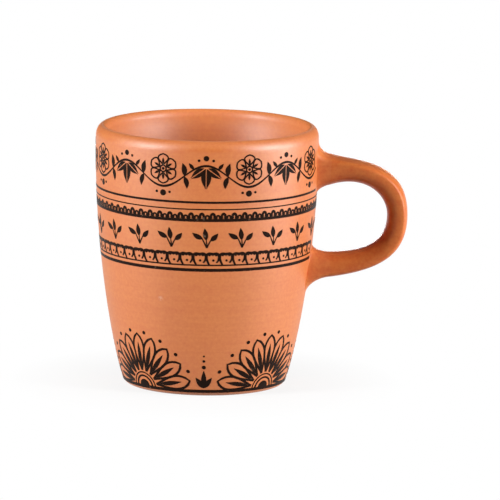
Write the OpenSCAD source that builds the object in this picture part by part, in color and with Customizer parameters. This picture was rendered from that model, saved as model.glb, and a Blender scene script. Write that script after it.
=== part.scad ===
// Espresso cup: a turned clay body with a cast strap handle, joined with slip, lined with glaze and
// decorated with printed transfers. The origin is on the cup's axis, in the plane that it stands on.
// The handle points along +X, and the front of the print faces -Y.

/* [Cup] */
// Height from the table to the rim
cup_height = 65; // [60:0.5:72]
// Outer radius at the widest place, just under the rim
belly_radius = 27.8; // [26.5:0.1:30]
// Outer radius of the wall's curve where it reaches the table
foot_radius = 20; // [18.5:0.1:21.5]
// Thickness of the wall, with its glaze lining
wall = 2.9; // [2.6:0.1:3.4]
// Height of the floor inside the cup
floor_height = 5; // [4:0.1:7]
// Thickness of the glaze lining
glaze = 0.3; // [0.2:0.05:0.4]

/* [Rounding] */
// Width of the rim's outer rounding, the rest of the wall's thickness being its inner one
rim_outer_round = 1.8; // [1.4:0.1:2]
// Height of the rim's outer rounding
rim_outer_rise = 2.8; // [1.8:0.1:3.6]
// Height of the rim's inner rounding
rim_inner_rise = 2; // [1.2:0.1:3]
// Rounding between the wall and the floor inside
inner_corner = 9; // [5:0.5:12]
// Rounding of the outer edge of the foot
foot_round = 1.2; // [0.6:0.1:2]
// Width of the ring that the cup stands on
foot_ring = 2.4; // [1.6:0.1:4]
// Depth of the hollow inside the foot ring
foot_hollow = 1.4; // [0.8:0.1:2]

/* [Handle] */
// How far the handle stands out past the belly
handle_reach = 22.4; // [20:0.1:26]
// Thickness of the strap at its bend
strap_thickness = 5.1; // [4.5:0.1:6]
// Width of the strap at its bend
strap_width = 9.2; // [7:0.1:11]
// Width of the strap at its ends
end_width = 9.6; // [8:0.1:12]
// How much wider the slip spreads on the wall than the strap's end is
slip_flare = 0.06; // [0:0.01:0.2]

/* [Print] */
// Thickness of the printed film
film = 0.1; // [0.06:0.01:0.12]
// Leaf sprigs round the belt
sprigs = 19; // [12:1:24]
// Waves of the vine round the frieze
vine_waves = 8; // [6:1:10]
// Palmettes round the foot
palmettes = 4; // [3:1:4]
// Petals of one palmette
petals = 9; // [5:2:11]

/* [Hidden] */
$fn = 96;

clay = [0.80, 0.46, 0.27];
slip = [0.77, 0.43, 0.25];
lining = [0.78, 0.42, 0.24];
ink = [0.07, 0.06, 0.06];

// The wall is widest a little below the rim and tucks in more sharply close to the table
belly_height = cup_height - 4;
foot_tuck = 0.08;
rim_inner_round = wall - rim_outer_round;
// The glaze thins towards the crest of the rim, down to this share
crest_glaze = 0.3;
round_steps = 8;
wall_steps = 22;

// Edges of the strap in the XZ plane: distance past the belly, and height as a share of the cup's height
bend_level = 0.661;
outer_upper = [[2, 0.898], [7.4, 0.859], [handle_reach, 0.889], [handle_reach, bend_level]];
outer_lower = [[handle_reach, bend_level], [handle_reach, 0.499], [14.8, 0.4425], [0.8, 0.416]];
inner_reach = handle_reach - strap_thickness;
inner_upper = [[0.9, 0.764], [11.1, 0.834], [inner_reach, 0.744], [inner_reach, bend_level]];
inner_lower = [[inner_reach, bend_level], [inner_reach, 0.566], [13.3, 0.5045], [0.4, 0.514]];
// The strap is widest at this share of the way from its inner to its outer edge, and its outer face is
// flatter than its inner one: powers of their superellipses
strap_ridge = 0.74;
outer_power = 2.7;
inner_power = 2.3;
// Shares of the edges' length between which the strap runs; the slip joints take up the rest
strap_start = 0.035;
strap_end = 0.965;
strap_sides = 32;
strap_rings = 44;
slip_rings = 8;
// Rings between the middle of the slip's face on the wall and its edge
slip_face_rings = 3;
// Heights between which the slip meets the wall, as shares of the cup's height
upper_root = [0.741, 0.942];
lower_root = [0.342, 0.543];

// Print at the foot: heights of its line and of the point that the palmettes' petals fan out from
base_line = [0.92, 1.72];
palmette_foot = 1.92;
palmette_eye = 4;
// Length and width of a palmette's petals
palmette_petal = [9.5, 2.2];
// Heights of the other print are given for a cup 65 mm tall and move along with the height
stretch = cup_height / 65;
// Belt lines that stop at the handle's roots, and those that run between the roots
broken_lines = [[32.46, 33.24], [33.92, 34.28], [49.68, 50.22]] * stretch;
whole_lines = [[45.1, 46], [48.05, 48.35]] * stretch;
sprig_foot = 39.8 * stretch;
sprig_leaf = [3.3, 1.3];
vine_level = 56.4 * stretch;
vine_rise = 2.7;
vine_width = 0.5;
// Degrees that the vine stays clear of the lines' ends beside the handle
vine_clearance = 2;
// The leaves under each crest of the vine hang this far below its middle
trio_drop = 0.75;
trio_spread = 53;
trio_clearance = 0.5;
trio_leaf = [4.2, 1.8];
// Leaves on the vine's slopes start this far above and below its middle, and lean by these angles
slope_clearance = 0.8;
slope_leaf = [2.4, 1.2];
rising_lean = 8;
falling_lean = 14;
blossom_level = vine_level + 1.65;
blossom_radius = 3.65;
blossom_eye = 1.1;
blossom_petals = 6;
blossom_petal_width = 1.7;
// Print stops this many degrees short of the middle of the handle's roots
root_gap = 11;
leaf_steps = 4;
vine_steps = 12;
tip_width = 0.06;

// Outer radius of the wall at height z
function wall_r(z) =
    let (t = max(0, (belly_height - z) / belly_height))
    belly_radius - (belly_radius - foot_radius) * ((1 - foot_tuck) * pow(t, 2) + foot_tuck * pow(t, 10));

// Outside of the cup, from the ring that it stands on up to the crest of the rim
function outside() = concat(
    [for (i = [0 : round_steps])
        let (a = 90 * i / round_steps - 90, z = foot_round * (1 + sin(a)))
        [wall_r(z) - foot_round * (1 - cos(a)), z]],
    [for (i = [1 : wall_steps])
        let (z = foot_round + (cup_height - rim_outer_rise - foot_round) * i / wall_steps)
        [wall_r(z), z]],
    [for (i = [1 : round_steps])
        let (a = 90 * i / round_steps)
        [belly_radius - rim_outer_round * (1 - cos(a)), cup_height - rim_outer_rise * (1 - sin(a))]]);

// Inside of the cup, from the crest of the rim down to the axis, at a depth under the glazed surface
function inside(depth) = concat(
    [for (i = [0 : round_steps])
        let (a = 90 + 90 * i / round_steps, under = depth * (crest_glaze - (1 - crest_glaze) * cos(a)))
        [belly_radius - wall + rim_inner_round + (rim_inner_round - under) * cos(a),
            cup_height - rim_inner_rise + (rim_inner_rise - under) * sin(a)]],
    [for (i = [1 : wall_steps])
        let (top = cup_height - rim_inner_rise, low = floor_height + inner_corner)
        let (z = top + (low - top) * i / wall_steps)
        [wall_r(z) - wall + depth, z]],
    [for (i = [1 : round_steps])
        let (a = -90 * i / round_steps, r = inner_corner + depth)
        let (z = floor_height - depth + r * (1 + sin(a)))
        [wall_r(z) - wall + depth - r * (1 - cos(a)), z]],
    [[0, floor_height - depth]]);

// Hollow under the floor, from the axis out to the foot ring's inner edge
function hollow() =
    let (r = foot_radius - foot_round - foot_ring)
    [[0, foot_hollow], [r - foot_hollow, foot_hollow], [r, 0]];

function reversed(list) = [for (i = [len(list) - 1 : -1 : 0]) list[i]];

function bezier(p, t) =
    p[0] * pow(1 - t, 3) + 3 * p[1] * t * pow(1 - t, 2) + 3 * p[2] * t * t * (1 - t) + p[3] * pow(t, 3);

// Point of an edge of the strap, from its upper end at 0 to its lower end at 1
function edge(upper, lower, s) =
    let (p = s < 0.5 ? bezier(upper, 2 * s) : bezier(lower, 2 * s - 1))
    [belly_radius + p[0], cup_height * p[1]];

function squared(c, power) = sign(c) * pow(abs(c), 2 / power);

// One ring of the strap: halves of two superellipses that meet at its widest place
function strap_ring(s) =
    let (outer = edge(outer_upper, outer_lower, s), inner = edge(inner_upper, inner_lower, s))
    let (ridge = inner + (outer - inner) * strap_ridge)
    let (half_width = (strap_width + (end_width - strap_width) * pow(2 * s - 1, 2)) / 2)
    [for (k = [0 : strap_sides - 1])
        let (a = 360 * k / strap_sides, out = cos(a) > 0, power = out ? outer_power : inner_power)
        let (p = ridge + ((out ? outer : inner) - ridge) * squared(abs(cos(a)), power))
        [p[0], half_width * squared(sin(a), power), p[1]]];

// Point on the wall at a sideways distance y and a height z, on the handle's side
function on_handle_side(y, z) = [sqrt(pow(wall_r(z), 2) - y * y), y, z];

// A ring on the wall: the strap's end ring, spread sideways and to the root's heights, then drawn in to a
// share of its size
function root_ring(end, root, share) =
    let (heights = [for (p = end) p[2]], low = min(heights), high = max(heights))
    [for (p = end)
        let (way = (p[2] - low) / (high - low) - 0.5)
        let (level = (root[0] + root[1]) / 2 + way * (root[1] - root[0]) * share)
        on_handle_side(p[1] * (1 + slip_flare) * share, cup_height * level)];

// Rings of a slip joint: the strap carried on to the wall with a fillet that is a quarter of an ellipse,
// then rings over its face on the wall to the middle
function slip_joint(start, stop, root) =
    let (end = strap_ring(stop), foot = root_ring(end, root, 1))
    concat(
        [for (i = [0 : slip_rings])
            let (a = 90 * i / slip_rings, along = sin(a), spread = 1 - cos(a))
            let (strap = strap_ring(start + (stop - start) * along))
            [for (k = [0 : strap_sides - 1])
                let (d = foot[k] - end[k])
                strap[k] + [d[0] * along, d[1] * spread, d[2] * spread]]],
        [for (i = [1 : slip_face_rings]) root_ring(end, root, 1 - i / (slip_face_rings + 1))]);

// A closed solid through a row of rings that have the same number of points
module skin(rings) {
    n = len(rings[0]);
    last = (len(rings) - 1) * n;
    sides = [for (i = [0 : len(rings) - 2], k = [0 : n - 1], half = [0, 1])
        let (a = i * n + k, b = i * n + (k + 1) % n)
        half == 0 ? [a, b, b + n] : [a, b + n, a + n]];
    polyhedron(
        [for (ring = rings) each ring],
        concat(sides, [[for (k = [n - 1 : -1 : 0]) k]], [[for (k = [0 : n - 1]) last + k]]));
}

// Point on the wall: p holds the distance along the wall from angle th and the height
function on_wall(th, p, lift) =
    let (a = th + p[0] / wall_r(p[1]) * 180 / PI, r = wall_r(p[1]) + lift)
    [r * cos(a), r * sin(a), p[1]];

// A printed stroke along a path on the wall, with a half width at each of its points
module stroke(th, path, half_widths) {
    last = len(path) - 1;
    skin([for (i = [0 : last])
        let (run = path[min(i + 1, last)] - path[max(i - 1, 0)])
        let (side = [-run[1], run[0]] / norm(run) * half_widths[i])
        [on_wall(th, path[i] + side, 0), on_wall(th, path[i] - side, 0),
            on_wall(th, path[i] - side, film), on_wall(th, path[i] + side, film)]]);
}

// A printed leaf of a length and width, from a foot on the wall, leaning from upright by an angle towards
// growing th
module leaf(th, foot, lean, size) {
    length = size[0];
    width = size[1];
    stroke(th,
        [for (i = [0 : leaf_steps]) foot + length * i / leaf_steps * [sin(lean), cos(lean)]],
        [for (i = [0 : leaf_steps]) max(tip_width, width / 2 * sin(180 * i / leaf_steps))]);
}

// Three leaves that fan out from one point without touching
module leaf_trio(th, foot, lean, size) {
    for (turn = [-trio_spread, 0, trio_spread])
        leaf(th, foot + trio_clearance * [sin(lean + turn), cos(lean + turn)], lean + turn, size);
}

// A blossom of petals round an open middle
module blossom(th, level) {
    for (k = [0 : blossom_petals - 1])
        let (turn = 360 * k / blossom_petals)
        leaf(th, [0, level] + blossom_eye * [sin(turn), cos(turn)], turn,
            [blossom_radius - blossom_eye, blossom_petal_width]);
}

// Leaves on the vine's slopes beside a crest, one up and one down from it
module slope_leaves(th) {
    away = belly_radius * PI / vine_waves / 2;
    for (side = [-1, 1], up = [-1, 1])
        let (lean = up > 0 ? side * rising_lean : 180 + side * falling_lean)
        leaf(th, [side * away, vine_level + up * slope_clearance], lean, slope_leaf);
}

// The vine's wave as distances along the wall and heights, from one side of the handle to the other
function vine_path() =
    let (first = root_gap + vine_clearance, steps = vine_waves * vine_steps)
    [for (i = [0 : steps])
        let (a = first + (360 - 2 * first) * i / steps)
        let (z = vine_level + vine_rise * cos(a * vine_waves))
        [a * wall_r(z) * PI / 180, z]];

// A printed line round the cup, open by a gap's angle on either side of the handle
module line_round(heights, gap) {
    low = heights[0];
    high = heights[1];
    rotate([0, 0, gap])
        rotate_extrude(angle = 360 - 2 * gap)
            polygon([[wall_r(low), low], [wall_r(low) + film, low],
                [wall_r(high) + film, high], [wall_r(high), high]]);
}

module cup_body() {
    color(clay)
        rotate_extrude()
            polygon(concat(hollow(), outside(), inside(glaze)));
}

module inside_glaze() {
    color(lining)
        rotate_extrude()
            polygon(concat(inside(glaze), reversed(inside(0))));
}

module handle() {
    color(clay)
        skin([for (i = [0 : strap_rings])
            strap_ring(strap_start + (strap_end - strap_start) * i / strap_rings)]);
}

module upper_slip_joint() {
    color(slip)
        skin(reversed(slip_joint(strap_start, 0, upper_root)));
}

module lower_slip_joint() {
    color(slip)
        skin(slip_joint(strap_end, 1, lower_root));
}

module frieze_transfer() {
    wave = 360 / vine_waves;
    color(ink) {
        stroke(0, vine_path(), [for (p = vine_path()) vine_width / 2]);
        for (i = [1 : vine_waves - 1]) {
            leaf_trio(wave * i, [0, vine_level + vine_rise - trio_drop], 180, trio_leaf);
            slope_leaves(wave * i);
        }
        for (i = [0 : vine_waves - 1])
            blossom(wave * (i + 0.5), blossom_level);
    }
}

module belt_transfer() {
    color(ink) {
        for (heights = broken_lines)
            line_round(heights, root_gap);
        for (heights = whole_lines)
            line_round(heights, 0);
        for (i = [0 : sprigs - 1])
            leaf_trio(360 * i / sprigs - 90, [0, sprig_foot], 0, sprig_leaf);
    }
}

module base_transfer() {
    color(ink) {
        line_round(base_line, 0);
        for (i = [0 : palmettes - 1], k = [0 : petals - 1])
            let (lean = 180 * (k + 0.5) / petals - 90)
            leaf(360 * (i + 0.5) / palmettes - 90, [0, palmette_foot] + palmette_eye * [sin(lean), cos(lean)],
                lean, palmette_petal);
    }
}

cup_body();
inside_glaze();
handle();
upper_slip_joint();
lower_slip_joint();
frieze_transfer();
belt_transfer();
base_transfer();
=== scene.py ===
"""Terracotta espresso cup with black printed bands, on a pale floor in soft studio light."""

import bpy
import numpy as np
from mathutils import Matrix, Vector


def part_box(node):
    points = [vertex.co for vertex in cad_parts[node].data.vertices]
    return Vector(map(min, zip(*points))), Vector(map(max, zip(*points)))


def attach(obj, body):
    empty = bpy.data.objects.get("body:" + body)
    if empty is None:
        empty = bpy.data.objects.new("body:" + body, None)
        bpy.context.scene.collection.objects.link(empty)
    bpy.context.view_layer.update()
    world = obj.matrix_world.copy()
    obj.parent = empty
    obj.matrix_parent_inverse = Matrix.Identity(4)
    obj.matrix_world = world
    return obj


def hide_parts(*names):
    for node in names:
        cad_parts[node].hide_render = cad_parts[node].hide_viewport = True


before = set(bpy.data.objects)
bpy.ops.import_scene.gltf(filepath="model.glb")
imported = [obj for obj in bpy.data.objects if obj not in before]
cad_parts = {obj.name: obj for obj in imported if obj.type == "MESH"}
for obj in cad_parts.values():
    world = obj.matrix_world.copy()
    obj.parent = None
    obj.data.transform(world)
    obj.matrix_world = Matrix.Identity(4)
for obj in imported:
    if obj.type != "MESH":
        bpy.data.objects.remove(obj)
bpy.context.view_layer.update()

# Sizes of the cup in millimetres, the main ones taken from the frame. The foot's tuck and the glaze on the
# rim's crest are shares
MM = 0.001
body_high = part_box("cup_body")[1]
handle_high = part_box("handle")[1]
CUP_HEIGHT = body_high.z / MM
BELLY_RADIUS = body_high.x / MM
BELLY_DROP = 4
BELLY_HEIGHT = CUP_HEIGHT - BELLY_DROP
FOOT_RADIUS = 20
FOOT_TUCK = 0.08
WALL = 2.9
GLAZE = 0.3
CREST_GLAZE = 0.3
FLOOR_HEIGHT = 5
RIM_OUTER_ROUND = 1.8
RIM_OUTER_RISE = 2.8
RIM_INNER_ROUND = WALL - RIM_OUTER_ROUND
RIM_INNER_RISE = 2
INNER_CORNER = 9
FOOT_ROUND = 1.2
FOOT_RING = 2.4
FOOT_HOLLOW = 1.4

# Edges of the strap handle: distance past the belly, and height as a share of the cup's height
HANDLE_REACH = handle_high.x / MM - BELLY_RADIUS
STRAP_THICKNESS = 5.1
INNER_REACH = HANDLE_REACH - STRAP_THICKNESS
BEND = 0.661
OUTER_EDGE = (((2, 0.898), (7.4, 0.859), (HANDLE_REACH, 0.889), (HANDLE_REACH, BEND)),
              ((HANDLE_REACH, BEND), (HANDLE_REACH, 0.499), (14.8, 0.4425), (0.8, 0.416)))
INNER_EDGE = (((0.9, 0.764), (11.1, 0.834), (INNER_REACH, 0.744), (INNER_REACH, BEND)),
              ((INNER_REACH, BEND), (INNER_REACH, 0.566), (13.3, 0.5045), (0.4, 0.514)))

# Section of the strap: widths, the ridge as a share of the thickness, the powers of its superellipses, and
# where the strap starts and ends as shares of the way along its edges
STRAP_WIDTH = 9.2
END_WIDTH = 9.6
STRAP_RIDGE = 0.74
OUTER_POWER = 2.7
INNER_POWER = 2.3
STRAP_START = 0.035
STRAP_END = 0.965

# Slip joints: how much wider they are on the wall than the strap's end, and the heights between which
# they meet the wall, as shares of the cup's height
SLIP_FLARE = 0.06
UPPER_ROOT = (0.741, 0.942)
LOWER_ROOT = (0.342, 0.543)

# Print: its film, the level and width of each line, and the levels, counts and turns of the ornaments
FRONT = -np.pi / 2
FILM = 0.05
SINK = 0.02
ROOT_GAP = np.radians(11)
BASE_LINE = (1.32, 0.8)
BROKEN_LINES = ((32.85, 0.78), (34.1, 0.36), (49.95, 0.54))
WHOLE_LINES = ((45.48, 0.76), (48.2, 0.3))
LACE_LEVEL = 45.93
LACE_LOOPS = 64
LACE_SHIFT = -0.034
SPRIG_LEVEL = 38.62
SPRIGS = 19
SPRIG_SHIFT = 0.014
SCALLOP_LEVEL = 34.42
SCALLOPS = 51
SCALLOP_SHIFT = -0.052
VINE_LEVEL = 56.4
VINE_RISE = 2.7
VINE_WAVES = 8
VINE_GAP = ROOT_GAP + 0.035
BLOSSOM_PETALS = 6
PALMETTES = 4
PALMETTE_LEVEL = 1.67
PALMETTE_LOBES = 9

# Fineness of the meshes
TURN_STEPS = 288
WALL_STEPS = 60
ROUND_STEPS = 16
STRAP_RINGS = 140
STRAP_SIDES = 72
SLIP_RINGS = 24
FACE_RINGS = 5
LINE_STEPS = 240
CREASE = np.radians(40)

# Finishes: half the spread of the clay's colours, the heights between which the rim's crest sets in, and the
# shoulder under it sets in and ends, and the places, reach and colours of scuffs
GRAIN = np.array([0.055, 0.048, 0.011])
CREST = (61, 64.5)
SHOULDER_FOOT = (59, 62.5)
SHOULDER_TOP = (63.2, 64.7)
CLAY_SCUFFS = ((-10.8, -22.7, 25.1),)
INK_SCUFFS = ((-1.6, -26.9, 46.0), (-0.3, -26.7, 41.6))
SCUFF_REACH = 0.9
SCUFFED_CLAY = (0.8, 0.5, 0.36, 1)
BLACK_INK = (0.014, 0.005, 0.002, 1)
WORN_INK = (0.25, 0.16, 0.11, 1)

# Stage, in metres: the floor, its colour as it is seen and as it throws light back, the share of plain white
# close to the cup and the ring in which the shadow fades, and the lamps' aim and distance
FLOOR_HALF = 4
FLOOR_DROP = 0.00002
FLOOR_SEEN = (0.92, 0.92, 0.92, 1)
FLOOR_BOUNCE = (0.2, 0.2, 0.2, 1)
PLAIN_NEAR = 0.84
SHADOW_FADE = (0.022, 0.05)
LAMP_AIM = Vector((0, 0, 0.035))
LAMP_DISTANCE = 0.65


def wall_radius(z):
    """Outer radius of the wall at height z: it falls with the square of the depth below the belly, and a
    little with its tenth power, which tucks the foot in."""
    depth = np.clip((BELLY_HEIGHT - z) / BELLY_HEIGHT, 0, None)
    fall = (1 - FOOT_TUCK) * depth ** 2 + FOOT_TUCK * depth ** 10
    return BELLY_RADIUS - (BELLY_RADIUS - FOOT_RADIUS) * fall


def piece(name, points, faces, slot, material, smooth=True):
    """A mesh object from points in millimetres and lists of faces, turned outwards where the volume that
    its faces enclose comes out negative. It rides on the one body and replaces the node of its name."""
    volume = 0.0
    for group in faces:
        for k in range(1, group.shape[1] - 1):
            a, b, c = points[group[:, 0]], points[group[:, k]], points[group[:, k + 1]]
            volume += np.einsum("ij,ij->i", a, np.cross(b, c)).sum()
    outward = faces if volume > 0 else [group[:, ::-1] for group in faces]
    mesh = bpy.data.meshes.new(name)
    mesh.from_pydata((points * MM).tolist(), [], [face for group in outward for face in group.tolist()])
    mesh.polygons.foreach_set("use_smooth", np.full(len(mesh.polygons), smooth))
    mesh.update()
    mesh.set_sharp_from_angle(angle=CREASE)
    mesh.materials.append(material)
    made = bpy.data.objects.new(name, mesh)
    bpy.context.scene.collection.objects.link(made)
    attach(made, "root")
    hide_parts(name)


def band_faces(rows, columns):
    """Quads between neighbouring rows of points that each run once round."""
    row, column = np.meshgrid(np.arange(rows - 1), np.arange(columns), indexing="ij")
    a = (row * columns + column).ravel()
    b = (row * columns + (column + 1) % columns).ravel()
    return np.stack([a, b, b + columns, a + columns], axis=1)


def fan_faces(row, columns, tip):
    """Triangles from a row of points to one tip."""
    a = np.arange(columns)
    return np.stack([row * columns + a, row * columns + (a + 1) % columns, np.full(columns, tip)], axis=1)


def closed(rings, first, last):
    """Points and faces of a row of rings, closed by fans from its first and last ring to two tips."""
    rows, columns = rings.shape[:2]
    count = rows * columns
    points = np.concatenate([rings.reshape(-1, 3), [first, last]])
    return points, [band_faces(rows, columns), fan_faces(0, columns, count)[:, ::-1],
                    fan_faces(rows - 1, columns, count + 1)]


def turned_solid(profile):
    """Points and faces of a profile of radii and heights that starts and ends on the axis, carried round
    the axis: x is the radius times the angle's cosine, y the radius times its sine."""
    angle = np.linspace(0, 2 * np.pi, TURN_STEPS, endpoint=False)
    radius, height = profile[1:-1, :1], profile[1:-1, 1:]
    rings = np.stack([radius * np.cos(angle), radius * np.sin(angle), height + 0 * angle], axis=-1)
    return closed(rings, (0, 0, profile[0, 1]), (0, 0, profile[-1, 1]))


def capped(rings):
    """Points and faces of a row of rings, closed at the middle of its first and last ring."""
    return closed(rings, rings[0].mean(axis=0), rings[-1].mean(axis=0))


def outside():
    """Radii and heights from the foot ring up to the crest of the rim: a quarter round, the wall's curve
    and a quarter of an ellipse."""
    a = np.linspace(-np.pi / 2, 0, ROUND_STEPS)
    z = FOOT_ROUND * (1 + np.sin(a))
    foot = np.stack([wall_radius(z) - FOOT_ROUND * (1 - np.cos(a)), z], axis=1)
    z = np.linspace(FOOT_ROUND, CUP_HEIGHT - RIM_OUTER_RISE, WALL_STEPS)[1:]
    wall = np.stack([wall_radius(z), z], axis=1)
    a = np.linspace(0, np.pi / 2, ROUND_STEPS)[1:]
    rim = np.stack([BELLY_RADIUS - RIM_OUTER_ROUND * (1 - np.cos(a)),
                    CUP_HEIGHT - RIM_OUTER_RISE * (1 - np.sin(a))], axis=1)
    return np.concatenate([foot, wall, rim])


def inside(depth):
    """Radii and heights from the crest of the rim down to the axis, at a depth under the glazed surface:
    a quarter of an ellipse at the rim, the wall's curve less the wall's thickness, and a round corner."""
    a = np.linspace(np.pi / 2, np.pi, ROUND_STEPS)
    under = depth * (CREST_GLAZE - (1 - CREST_GLAZE) * np.cos(a))
    rim = np.stack([BELLY_RADIUS - WALL + RIM_INNER_ROUND + (RIM_INNER_ROUND - under) * np.cos(a),
                    CUP_HEIGHT - RIM_INNER_RISE + (RIM_INNER_RISE - under) * np.sin(a)], axis=1)
    z = np.linspace(CUP_HEIGHT - RIM_INNER_RISE, FLOOR_HEIGHT + INNER_CORNER, WALL_STEPS)[1:]
    wall = np.stack([wall_radius(z) - WALL + depth, z], axis=1)
    a = np.linspace(0, -np.pi / 2, 2 * ROUND_STEPS)[1:]
    r = INNER_CORNER + depth
    z = FLOOR_HEIGHT - depth + r * (1 + np.sin(a))
    corner = np.stack([wall_radius(z) - WALL + depth - r * (1 - np.cos(a)), z], axis=1)
    r = np.linspace(corner[-1, 0], 0, ROUND_STEPS)[1:]
    floor = np.stack([r, np.full_like(r, FLOOR_HEIGHT - depth)], axis=1)
    return np.concatenate([rim, wall, corner, floor])


def hollow():
    """Radii and heights of the hollow under the floor, from the axis out to the foot ring: flat, then a
    quarter round."""
    edge = FOOT_RADIUS - FOOT_ROUND - FOOT_RING
    a = np.linspace(np.pi / 2, 0, ROUND_STEPS)
    slope = np.stack([edge - FOOT_HOLLOW * np.sin(a), FOOT_HOLLOW * (1 - np.cos(a))], axis=1)
    top = np.linspace(0, edge - FOOT_HOLLOW, ROUND_STEPS)[:-1]
    return np.concatenate([np.stack([top, np.full_like(top, FOOT_HOLLOW)], axis=1), slope])


def bezier(p, t):
    """Point of a cubic curve: the four points weighted by the Bernstein polynomials of t."""
    a, b, c, d = (np.asarray(q, float) for q in p)
    t = np.asarray(t, float)[..., None]
    return a * (1 - t) ** 3 + 3 * b * t * (1 - t) ** 2 + 3 * c * t ** 2 * (1 - t) + d * t ** 3


def strap_edge(edge, s):
    """Point of an edge of the strap in the XZ plane, from its upper end at 0 to its lower end at 1."""
    upper, lower = bezier(edge[0], 2 * s), bezier(edge[1], 2 * s - 1)
    share = np.where(s[..., None] < 0.5, upper, lower)
    return np.stack([BELLY_RADIUS + share[..., 0], CUP_HEIGHT * share[..., 1]], axis=-1)


def strap_rings(s):
    """Rings of the strap: each is two halves of superellipses that meet at its widest place, which lies
    nearer to the outer edge than to the inner one."""
    outer, inner = strap_edge(OUTER_EDGE, s), strap_edge(INNER_EDGE, s)
    ridge = inner + (outer - inner) * STRAP_RIDGE
    half_width = (STRAP_WIDTH + (END_WIDTH - STRAP_WIDTH) * (2 * s - 1) ** 2) / 2
    a = np.linspace(0, 2 * np.pi, STRAP_SIDES, endpoint=False)
    power = 2 / np.where(np.cos(a) > 0, OUTER_POWER, INNER_POWER)
    across = (np.abs(np.cos(a)) ** power)[None, :, None]
    aside = np.sign(np.sin(a)) * np.abs(np.sin(a)) ** power
    edge = np.where(np.cos(a)[None, :, None] > 0, outer[:, None, :], inner[:, None, :])
    place = ridge[:, None, :] + (edge - ridge[:, None, :]) * across
    return np.stack([place[..., 0], half_width[:, None] * aside, place[..., 1]], axis=-1)


def root_ring(end, root, share):
    """A ring on the wall: the strap's end ring, spread sideways and to the root's heights, then drawn in
    to a share of its size. On the wall x is the root of the wall's radius squared less y squared."""
    end_low, end_high = end[:, 2].min(), end[:, 2].max()
    low, high = CUP_HEIGHT * root[0], CUP_HEIGHT * root[1]
    y = end[:, 1] * (1 + SLIP_FLARE) * share
    way = (end[:, 2] - end_low) / (end_high - end_low) - 0.5
    z = (low + high) / 2 + way * (high - low) * share
    return np.stack([np.sqrt(wall_radius(z) ** 2 - y ** 2), y, z], axis=1)


def slip_rings(start, end, root):
    """Rings of a slip joint: the strap carried on to the wall, with a fillet added that is a quarter of
    an ellipse, so that x follows a sine and the spread one less a cosine. Rings over its face on the wall
    follow."""
    quarter = np.linspace(0, np.pi / 2, SLIP_RINGS)
    along, spread = np.sin(quarter), 1 - np.cos(quarter)
    strap = strap_rings(start + (end - start) * along)
    foot = root_ring(strap[-1], root, 1)
    way = np.stack([along, spread, spread], axis=1)[:, None, :]
    shares = np.linspace(1, 0, FACE_RINGS + 2)[1:-1]
    face = np.stack([root_ring(strap[-1], root, share) for share in shares])
    return np.concatenate([strap + (foot - strap[-1]) * way, face])


class Print:
    """Strokes of ink on the wall, gathered into one mesh. A stroke is a path on the flattened wall, in
    millimetres to the right and up, with a half width at each of its points."""

    def __init__(self):
        self.points, self.faces, self.count = [], [], 0

    def stamp(self, path, half, angles, level):
        """Carries a stroke's flat section along its path, once at each angle: left and right edge lie
        half a width to the sides, under the wall's surface and a film's thickness over it."""
        path, angles = np.asarray(path, float), np.atleast_1d(angles)
        half = np.broadcast_to(np.asarray(half, float), len(path))
        run = np.gradient(path, axis=0)
        side = np.stack([-run[:, 1], run[:, 0]], axis=1) / np.linalg.norm(run, axis=1)[:, None]
        edges = path[:, None, :] + side[:, None, :] * (half[:, None] * np.array([-1, -1, 1, 1]))[..., None]
        lift = np.array([-SINK, FILM, FILM, -SINK])
        z = level + edges[..., 1]
        radius = wall_radius(z)
        angle = angles[:, None, None] + edges[..., 0] / radius
        radius = radius + lift
        stroke = np.stack([radius * np.cos(angle), radius * np.sin(angle), z + 0 * angle], axis=-1)
        copies, steps = stroke.shape[:2]
        caps = np.array([[3, 2, 1, 0], [0, 1, 2, 3]]) + [[0], [(steps - 1) * 4]]
        quads = np.concatenate([band_faces(steps, 4), caps])
        starts = self.count + np.arange(copies)[:, None, None] * steps * 4
        self.points.append(stroke.reshape(-1, 3))
        self.faces.append((starts + quads).reshape(-1, 4))
        self.count += copies * steps * 4

    def piece(self, name, material):
        """Makes the strokes gathered so far into one piece."""
        points, faces = np.concatenate(self.points), [np.concatenate(self.faces)]
        piece(name, points, faces, "ink", material, smooth=False)


def arc(centre, radii, start, stop, steps=11):
    """Points along an ellipse's arc, between two angles in degrees."""
    a = np.radians(np.linspace(start, stop, steps))
    return np.asarray(centre, float) + np.stack([radii[0] * np.cos(a), radii[1] * np.sin(a)], axis=1)


def turned(path, lean):
    """A path turned clockwise from upright by an angle in degrees."""
    a = np.radians(lean)
    return path @ np.array([[np.cos(a), -np.sin(a)], [np.sin(a), np.cos(a)]])


def swell(width, steps, tip=0.03):
    """Half widths that swell from a tip to the middle and back, as a sine."""
    return np.maximum(width / 2 * np.sin(np.pi * np.linspace(0, 1, steps)), tip)


def stem(points, start, end, steps=7):
    """A stroke along a cubic curve that tapers evenly from one width to another."""
    return bezier(points, np.linspace(0, 1, steps)), np.linspace(start, end, steps) / 2


def disc(centre, radius, steps=9):
    """A dot as a stroke: along its diameter, with the circle's own half chord as the half width."""
    a = np.linspace(0, np.pi, steps)
    path = np.asarray(centre, float) + np.stack([-radius * np.cos(a), 0 * a], axis=1)
    return path, np.maximum(radius * np.sin(a), 0.02)


def leaf(foot, lean, length, width, steps=9, bend=0.0):
    """A leaf as a stroke from its foot along a slightly bent line, widest a little before its middle."""
    t = np.linspace(0, 1, steps)
    path = np.stack([bend * length * np.sin(np.pi * t), length * t], axis=1)
    half = np.maximum(width / 2 * np.sin(np.pi * t ** 0.85) ** 0.9, 0.03)
    return np.asarray(foot, float) + turned(path, lean), half


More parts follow.
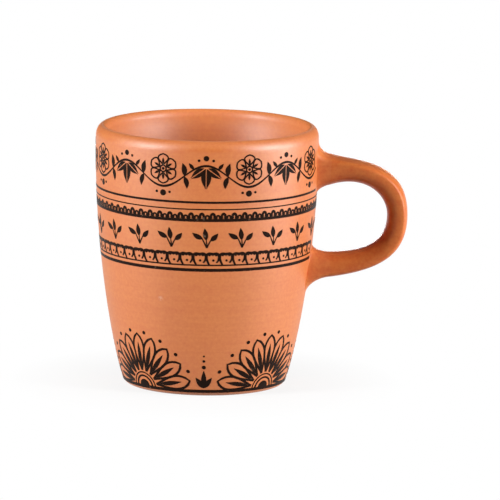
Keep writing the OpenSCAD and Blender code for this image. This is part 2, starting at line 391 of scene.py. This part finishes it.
def split_leaf(foot, lean, length, width, gap=0.22, steps=11):
    """A leaf in two halves beside a bare midrib, each half as wide as half a sine."""
    t = np.linspace(0, 1, steps)
    full = width / 2 * np.sin(np.pi * t ** 0.8) ** 0.9
    for side in (-1, 1):
        half = np.maximum((full - gap / 2) / 2, 0.04)
        path = np.stack([side * (gap / 2 + half), length * t], axis=1)
        yield np.asarray(foot, float) + turned(path, lean), half


def lobe(near, far, width, lean, fullness, steps=25):
    """The outline of a petal: up its left side and down its right, its half width a power of a sine of
    the way along it raised to a fullness, which moves the widest place outwards."""
    t = np.linspace(0, 2, steps)
    way = np.minimum(t, 2 - t)
    side = np.where(t < 1, -1, 1) * width / 2 * np.sin(np.pi * way ** fullness) ** 0.7
    return turned(np.stack([side, near + (far - near) * way], axis=1), lean)


def round_line(ink, level, width, gap):
    """A line round the cup that stops a gap's angle short of the handle on either side."""
    angle = np.linspace(gap, 2 * np.pi - gap, LINE_STEPS)
    path = np.stack([angle * wall_radius(level), 0 * angle], axis=1)
    ink.stamp(path, width / 2, 0.0, level)


def round_angles(count, gap=0.0, start=FRONT):
    """Even angles round the cup from a start, without those that fall within a gap of the handle."""
    angles = start + np.arange(count) * 2 * np.pi / count
    return angles[np.abs((angles + np.pi) % (2 * np.pi) - np.pi) >= gap]


def belt_print(material):
    """The belt: lines, a lace edging of tall and low loops with filled corners, leaf sprigs, and scallops
    with dots."""
    ink = Print()
    for level, width in BROKEN_LINES:
        round_line(ink, level, width, ROOT_GAP)
    for level, width in WHOLE_LINES:
        round_line(ink, level, width, 0.0)

    pitch = 2 * np.pi / LACE_LOOPS
    tall = round_angles(LACE_LOOPS, start=FRONT + LACE_SHIFT)
    low = tall + pitch / 2
    corners = np.concatenate([tall - pitch / 4, tall + pitch / 4])
    ink.stamp(arc((0, 0.5), (0.46, 0.7), -50, 230, 15), 0.25 + swell(0.18, 15), tall, LACE_LEVEL)
    ink.stamp(arc((0, 0.3), (0.43, 0.44), -50, 230, 11), 0.21 + swell(0.06, 11), low, LACE_LEVEL)
    ink.stamp(np.linspace((0, -0.3), (0, 0.3), 5), np.linspace(0.25, 0.06, 5), corners, LACE_LEVEL)

    places = round_angles(SPRIGS, start=FRONT + SPRIG_SHIFT)
    for path, half in (
            stem(((0, -0.1), (-0.35, 0.6), (-0.75, 1.4), (-1.25, 2.4)), 0.42, 0.26),
            stem(((0, 0.1), (0, 0.8), (-0.1, 1.4), (-0.18, 2.2)), 0.36, 0.2),
            stem(((0, -0.1), (0.25, 0.5), (0.55, 1.1), (0.98, 1.9)), 0.42, 0.26),
            leaf((-1.02, 2.2), -61, 3.0, 1.22, bend=-0.05),
            leaf((-0.16, 1.8), -8, 3.05, 1.3),
            leaf((0.88, 1.7), 45, 2.6, 1.25, bend=0.05)):
        ink.stamp(path, half, places, SPRIG_LEVEL)

    places = round_angles(SCALLOPS, ROOT_GAP + np.pi / SCALLOPS, FRONT + SCALLOP_SHIFT)
    across = np.linspace(-1, 1, 13)
    brow = np.stack([1.55 * across, 2.25 + 0.5 * (1 - across ** 4) - 0.2 * (1 - across ** 2) ** 4], axis=1)
    for path, half in (
            (brow, 0.34),
            stem(((-1.5, 2.35), (-1.68, 1.5), (-1.4, 0.7), (-0.85, -0.2)), 0.66, 0.46),
            stem(((1.5, 2.35), (1.68, 1.5), (1.4, 0.8), (0.9, 0.3)), 0.66, 0.38),
            disc((-0.82, 2.3), 0.32, 7),
            disc((0, 2.36), 0.3, 7),
            disc((0.82, 2.3), 0.32, 7),
            disc((0.15, 0.92), 0.3, 9)):
        ink.stamp(path, half, places, SCALLOP_LEVEL)
    ink.piece("belt_transfer", material)


def frieze_print(material):
    """The frieze: a running vine, its height a cosine of the angle, with blossoms in its dips, split leaves
    hanging from its crests, single leaves on its slopes and dots in the spaces."""
    ink = Print()
    wave = 2 * np.pi / VINE_WAVES
    angle = np.linspace(VINE_GAP, 2 * np.pi - VINE_GAP, 2 * LINE_STEPS)
    height = VINE_RISE * np.cos(angle * VINE_WAVES)
    path = np.stack([angle * wall_radius(VINE_LEVEL + height), height], axis=1)
    ink.stamp(path, 0.23 + 0.06 * np.cos(2 * angle * VINE_WAVES), 0.0, VINE_LEVEL)

    crests = wave * np.arange(1, VINE_WAVES)
    dips = wave * (np.arange(VINE_WAVES) + 0.5)
    slope = wave * BELLY_RADIUS / 4
    for turn, length, width in ((-54, 4.1, 2.0), (0, 5.0, 2.5), (54, 4.1, 2.0)):
        for path, half in split_leaf((turn / 130, VINE_RISE - 0.75), 180 - turn, length, width):
            ink.stamp(path, half, crests, VINE_LEVEL)
    for side in (-1, 1):
        for path, half in (
                leaf((side * slope, 0.1), side * 8, 3.2, 1.35, bend=-side * 0.08),
                leaf((side * slope, -0.1), 180 + side * 14, 3.0, 1.25, bend=side * 0.08),
                leaf((side * slope * 0.55, 1.75), side * 40, 2.0, 0.85)):
            ink.stamp(path, half, crests, VINE_LEVEL)

    heart = np.array([0, 1.65])
    for turn in np.arange(BLOSSOM_PETALS) * 360 / BLOSSOM_PETALS:
        ink.stamp(heart + lobe(0.95, 3.65, 2.7, turn, 1.5), 0.19, dips, VINE_LEVEL)
        ink.stamp(*leaf(heart + turned(np.array([0, 1.2]), turn), turn, 1.5, 0.62), dips, VINE_LEVEL)
    ink.stamp(arc(heart, (0.8, 0.8), 0, 360, 19), 0.19, dips, VINE_LEVEL)
    ink.stamp(*disc(heart, 0.36), dips, VINE_LEVEL)
    for centre, radius, places in (
            ((0, -4.35), 0.78, dips), ((-1.7, -4.1), 0.32, dips), ((1.7, -4.1), 0.32, dips),
            ((0, 4.55), 0.68, crests), ((-1.8, 4.0), 0.34, crests), ((1.8, 4.0), 0.34, crests)):
        ink.stamp(*disc(centre, radius), places, VINE_LEVEL)
    ink.piece("frieze_transfer", material)


def base_print(material):
    """The base: a line round the foot, palmettes whose lobes fan out from a ringed half eye, and a small
    bud with dots between two palmettes."""
    ink = Print()
    round_line(ink, *BASE_LINE, 0.0)
    places = round_angles(PALMETTES, start=FRONT + np.pi / PALMETTES)
    between = round_angles(PALMETTES)
    step = 180 / PALMETTE_LOBES
    leans = (np.arange(PALMETTE_LOBES) + 0.5) * step - 90
    for lean in leans:
        ink.stamp(lobe(3.9, 13.4, 3.4, lean, 1.55), 0.29, places, PALMETTE_LEVEL)
        ink.stamp(*leaf(turned(np.array([0, 5.0]), lean), lean, 6.2, 1.15), places, PALMETTE_LEVEL)
    for lean in leans[:-1] + step / 2:
        ink.stamp(*disc(turned(np.array([0, 14.1]), lean), 0.46), places, PALMETTE_LEVEL)
    for radius, width in ((0.45, 0.9), (1.2, 0.7), (2.45, 0.5), (3.35, 0.36)):
        ink.stamp(arc((0, 0), (radius, radius), 0, 180, 19), width / 2, places, PALMETTE_LEVEL)
    for lean in (-36, 0, 36):
        ink.stamp(*leaf((0, 0.5), lean, 4.6 - abs(lean) / 30, 1.3), between, PALMETTE_LEVEL)
    for centre, radius in (((0, 6.0), 0.5), ((0, 7.6), 0.36), ((0, 8.9), 0.25)):
        ink.stamp(*disc(centre, radius), between, PALMETTE_LEVEL)
    ink.piece("base_transfer", material)


class Value:
    """A shader socket that takes part in Python arithmetic: each operator adds a Math node."""

    def __init__(self, finish, socket):
        self.finish, self.socket = finish, socket

    def math(self, operation, *values):
        made = self.finish.node("ShaderNodeMath", {"operation": operation}, dict(enumerate(values)))
        return Value(self.finish, made.outputs[0])

    def __add__(self, other):
        return self.math("ADD", self, other)

    def __radd__(self, other):
        return self.math("ADD", other, self)

    def __sub__(self, other):
        return self.math("SUBTRACT", self, other)

    def __rsub__(self, other):
        return self.math("SUBTRACT", other, self)

    def __mul__(self, other):
        return self.math("MULTIPLY", self, other)

    def __rmul__(self, other):
        return self.math("MULTIPLY", other, self)

    def at_least(self, other):
        """The larger of two values."""
        return self.math("MAXIMUM", self, other)


class Finish:
    """A material and its nodes."""

    def __init__(self, name):
        self.material = bpy.data.materials.new(name)
        self.material.use_nodes = True
        self.tree = self.material.node_tree
        self.shader = self.tree.nodes["Principled BSDF"]

    @classmethod
    def of(cls, world):
        """The nodes of a world, to be wired like those of a material."""
        made = cls.__new__(cls)
        made.tree = world.node_tree
        return made

    def feed(self, socket, value):
        """Links a value to a socket, or sets a constant on it."""
        if isinstance(value, Value):
            self.tree.links.new(value.socket, socket)
        else:
            socket.default_value = value

    def node(self, kind, settings=None, inputs=None):
        """Any node: its type, its settings, which come first, and the values or links of its sockets."""
        made = self.tree.nodes.new(kind)
        for name, setting in (settings or {}).items():
            setattr(made, name, setting)
        for name, value in (inputs or {}).items():
            self.feed(made.inputs[name], value)
        return made

    def out(self, made, output=0):
        return Value(self, made.outputs[output])

    def place(self):
        return self.out(self.node("ShaderNodeTexCoord"), "Object")

    def noise(self, scale, detail=2.0, stretch=(1, 1, 1)):
        """Noise of so many waves to the metre, times a stretch along each axis."""
        moved = self.out(self.node("ShaderNodeMapping", inputs={"Vector": self.place(), "Scale": stretch}))
        made = self.node("ShaderNodeTexNoise", inputs={"Vector": moved, "Scale": scale, "Detail": detail})
        return self.out(made, "Fac")

    def between(self, value, low, high):
        """0 below low, 1 above high, and an even run between them."""
        made = self.node("ShaderNodeMapRange", inputs={"Value": value, "From Min": low, "From Max": high})
        return self.out(made)

    def above(self, low, high):
        """0 below one height, 1 above another, both in millimetres, and an even run between them."""
        parts = self.node("ShaderNodeSeparateXYZ", inputs={0: self.place()})
        return self.between(self.out(parts, "Z"), low * MM, high * MM)

    def near(self, spot, radius):
        """1 at a spot in millimetres, falling evenly to 0 at a radius."""
        away = self.node("ShaderNodeVectorMath", {"operation": "DISTANCE"},
                         {0: self.place(), 1: tuple(c * MM for c in spot)})
        return self.between(self.out(away, "Value"), radius * MM, 0.0)

    def mix(self, share, first, second):
        """A colour between two: a Mix node takes colours at its inputs 6 and 7 and gives one at output 2."""
        made = self.node("ShaderNodeMix", {"data_type": "RGBA"}, {0: share, 6: first, 7: second})
        return self.out(made, 2)

    def bump(self, height, strength, distance):
        made = self.node("ShaderNodeBump",
                         inputs={"Strength": strength, "Distance": distance, "Height": height})
        return self.out(made)

    def surface(self, **inputs):
        """Feeds sockets of the main shader, named with underscores for spaces."""
        for name, value in inputs.items():
            self.feed(self.shader.inputs[name.replace("_", " ")], value)
        return self.material


def clay_finish(name, colour, roughness, gloss, sheen=0.0, mottle=0.0, coat=0.0, polish=0.0):
    """Satin clay: soft clouds of colour, a fine mottle, faint rings from the turning, a fine tooth, a dusty
    sheen at grazing angles, a duller crest of the rim, where a coat of glaze runs out, and under it a
    shoulder that is rubbed smoother."""
    f = Finish(name)
    deep, light = (tuple(np.add(colour, way * GRAIN)) + (1,) for way in (-1, 1))
    cloud, fine, patches = f.noise(45, 3.0), f.noise(1350, 2.0), f.noise(520, 2.0)
    rings = f.noise(100, 2.0, (0.12, 0.12, 15))
    share = 0.4 * cloud + 0.9 * fine + 0.5 * rings + mottle * patches
    colour = f.mix(f.between(share, 0.5 + mottle / 2, 1.3 + mottle / 2), deep, light)
    for spot in CLAY_SCUFFS:
        rubbed = f.near(spot, SCUFF_REACH) * f.between(f.noise(1800, 2.0), 0.42, 0.62)
        colour = f.mix(0.6 * rubbed, colour, SCUFFED_CLAY)
    height = 0.6 * f.noise(2400, 3.0) + 0.4 * rings + mottle * patches
    crest = f.above(*CREST)
    dull = roughness + 0.1 * f.noise(260, 2.0) + 0.15 * crest
    if polish:
        dull = dull - polish * (f.above(*SHOULDER_FOOT) - f.above(*SHOULDER_TOP))
    if coat:
        f.surface(Coat_Weight=coat - coat * crest, Coat_Roughness=0.4, Coat_IOR=2.4)
    return f.surface(Base_Color=colour, Roughness=dull, Specular_IOR_Level=gloss, Sheen_Weight=sheen,
                     Sheen_Roughness=0.5, Normal=f.bump(height, strength=0.3, distance=0.00012))


def ink_finish():
    """Black ceramic ink: warm black with a few worn flecks and a soft gloss."""
    f = Finish("black ink")
    worn = f.noise(1000, 3.0)
    for spot in INK_SCUFFS:
        worn = worn + 0.3 * f.near(spot, SCUFF_REACH)
    colour = f.mix(f.between(worn, 0.66, 0.82) * 0.8, BLACK_INK, WORN_INK)
    return f.surface(Base_Color=colour, Roughness=0.36 + 0.15 * f.noise(900, 2.0), Specular_IOR_Level=0.08)


def seen_white(finish, reflected):
    """1 for what the camera sees straight or through a clear thing, a share of that for what a glossy thing
    reflects, and otherwise 0."""
    path = finish.node("ShaderNodeLightPath")
    camera, clear, glossy = (finish.out(path, ray) for ray in
                             ("Is Camera Ray", "Is Transmission Ray", "Is Glossy Ray"))
    return camera.at_least(clear.at_least(reflected * glossy))


def pale_floor():
    """A wide pale floor just under the foot ring, which throws less light back than it shows. Close to the
    cup the camera sees part of its real shade, so that it keeps a soft shadow, and further off it is plain
    white."""
    f = Finish("pale floor")
    seen = seen_white(f, reflected=1)
    f.surface(Base_Color=f.mix(seen, FLOOR_BOUNCE, FLOOR_SEEN), Roughness=0.9)
    away = f.out(f.node("ShaderNodeVectorMath", {"operation": "LENGTH"}, {0: f.place()}), "Value")
    plain = PLAIN_NEAR + (1 - PLAIN_NEAR) * f.between(away, *SHADOW_FADE)
    white = f.node("ShaderNodeEmission", inputs={"Color": (1, 1, 1, 1), "Strength": 1.0})
    mixed = f.node("ShaderNodeMixShader", inputs={0: seen * plain, 1: f.out(f.shader), 2: f.out(white)})
    f.tree.links.new(mixed.outputs[0], f.tree.nodes["Material Output"].inputs["Surface"])
    mesh = bpy.data.meshes.new("floor")
    sides = ((-1, -1), (1, -1), (1, 1), (-1, 1))
    corners = [(x * FLOOR_HALF, y * FLOOR_HALF, -FLOOR_DROP) for x, y in sides]
    mesh.from_pydata(corners, [], [[0, 1, 2, 3]])
    mesh.materials.append(f.material)
    made = bpy.data.objects.new("floor", mesh)
    bpy.context.scene.collection.objects.link(made)


def white_surround(ambient, reflected):
    """A world that is plain white to the camera, much dimmer than the floor in reflections, and a weak fill
    light otherwise."""
    world = bpy.data.worlds.new("surround")
    world.use_nodes = True
    f = Finish.of(world)
    background = f.tree.nodes["Background"]
    f.feed(background.inputs["Color"], (1, 1, 1, 1))
    f.feed(background.inputs["Strength"], ambient + (1 - ambient) * seen_white(f, reflected))
    bpy.context.scene.world = world


def softbox(name, azimuth, elevation, width, height, power):
    """A rectangular lamp that faces the cup from an azimuth, counted from the front to the right, and an
    elevation, both in degrees."""
    around, above = np.radians(azimuth), np.radians(elevation)
    away = Vector((np.sin(around) * np.cos(above), -np.cos(around) * np.cos(above), np.sin(above)))
    lamp = bpy.data.lights.new(name, "AREA")
    lamp.shape = "RECTANGLE"
    lamp.size, lamp.size_y, lamp.energy = width, height, power
    made = bpy.data.objects.new(name, lamp)
    made.location = LAMP_AIM + LAMP_DISTANCE * away
    made.rotation_euler = (-away).to_track_quat("-Z", "Y").to_euler()
    bpy.context.scene.collection.objects.link(made)


def photo_camera():
    """A long lens a little above the rim, turned slightly, aimed at a point between cup and handle."""
    elevation, roll = np.radians(9.88), np.radians(0.82)
    target = Vector((0.01102, 0, 0.0335))
    distance = 1.9
    view_width = 0.12492
    ahead = Vector((0, np.cos(elevation), -np.sin(elevation)))
    right, up = Vector((1, 0, 0)), Vector((0, np.sin(elevation), np.cos(elevation)))
    across = right * np.cos(roll) + up * np.sin(roll)
    above = up * np.cos(roll) - right * np.sin(roll)
    lens = bpy.data.cameras.new("camera")
    lens.sensor_width = 36
    lens.lens = lens.sensor_width * distance / view_width
    lens.clip_end = 50
    made = bpy.data.objects.new("camera", lens)
    turn = Matrix((across, above, -ahead)).transposed().to_4x4()
    made.matrix_world = Matrix.Translation(target - ahead * distance) @ turn
    bpy.context.scene.collection.objects.link(made)
    bpy.context.scene.camera = made


clay = clay_finish("satin terracotta", (0.7, 0.17, 0.013), 0.45, 1.42, sheen=0.12, polish=0.12)
# Handle clay: partly the clay's own colour, with its green and blue set lower as painted shade on the
# strap's shaded faces
cast_clay_painted_shade = clay_finish("cast terracotta", (0.728, 0.186, 0.043), 0.37, 0.36, mottle=1.0)
slip = clay_finish("wiped slip", (0.735, 0.206, 0.06), 0.42, 0.3, mottle=1.2)
# Glazed lining: partly the glaze's own colour, partly set brighter than the body's clay as painted light on
# the inside of the cup
glaze = clay_finish("glazed lining", (0.758, 0.214, 0.042), 0.5, 1.0, coat=1.0)
ink = ink_finish()

body_profile = np.concatenate([hollow(), outside(), inside(GLAZE)])
glaze_profile = np.concatenate([inside(GLAZE)[::-1], inside(0)])
strap = strap_rings(np.linspace(STRAP_START, STRAP_END, STRAP_RINGS))
piece("cup_body", *turned_solid(body_profile), "clay", clay)
piece("inside_glaze", *turned_solid(glaze_profile), "glaze", glaze)
piece("handle", *capped(strap), "clay", cast_clay_painted_shade)
piece("upper_slip_joint", *capped(slip_rings(STRAP_START, 0, UPPER_ROOT)), "clay", slip)
piece("lower_slip_joint", *capped(slip_rings(STRAP_END, 1, LOWER_ROOT)), "clay", slip)
frieze_print(ink)
belt_print(ink)
base_print(ink)

pale_floor()
white_surround(ambient=0.02, reflected=0.1)
softbox("left softbox", -61.4, 23.0, 0.131, 0.311, 3.99)
softbox("left side softbox", -83.2, 4, 0.2, 0.26, 0.72)
softbox("right softbox", 63.6, 21.4, 0.095, 0.292, 3.36)
softbox("right side softbox", 85.3, 4, 0.2, 0.26, 2.25)
softbox("back softbox", 180, 0, 0.3, 0.05, 1.0)
photo_camera()
bpy.context.scene.view_settings.view_transform = "Standard"
